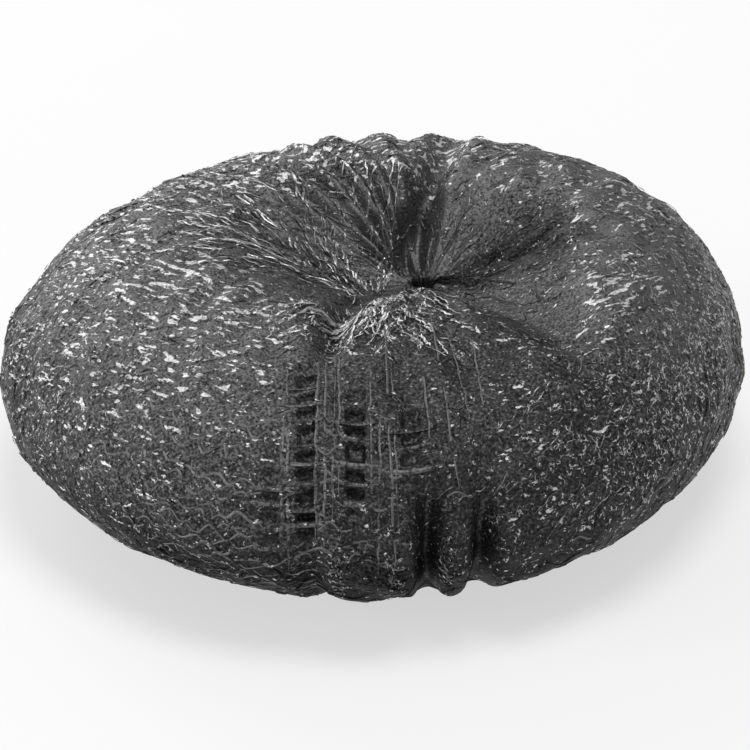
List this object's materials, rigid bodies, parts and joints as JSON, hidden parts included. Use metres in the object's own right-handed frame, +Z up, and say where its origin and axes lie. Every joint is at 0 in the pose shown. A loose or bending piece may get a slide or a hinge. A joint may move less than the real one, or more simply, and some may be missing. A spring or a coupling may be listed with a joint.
{
  "type": "metal scourer",
  "caption": "Ring-shaped scouring pad of knitted flat metal ribbon, rolled up and gathered to a pinched hole in the middle, for scrubbing pans and grates.",
  "frame": {"origin": "middle of the outline, on the surface that the ring rests on", "axes": "+Z up out of the dimple, across the thin way of the ring; the stretched open stitches face -Y"},
  "size_m": [0.1014, 0.1004, 0.035],
  "materials": {
    "galvanised_ribbon": "dull dark grey zinc-coated ribbon with small bright glints"
  },
  "bodies": {
    "root": {"knitted_pad": "galvanised_ribbon"}
  },
  "joints": []
}
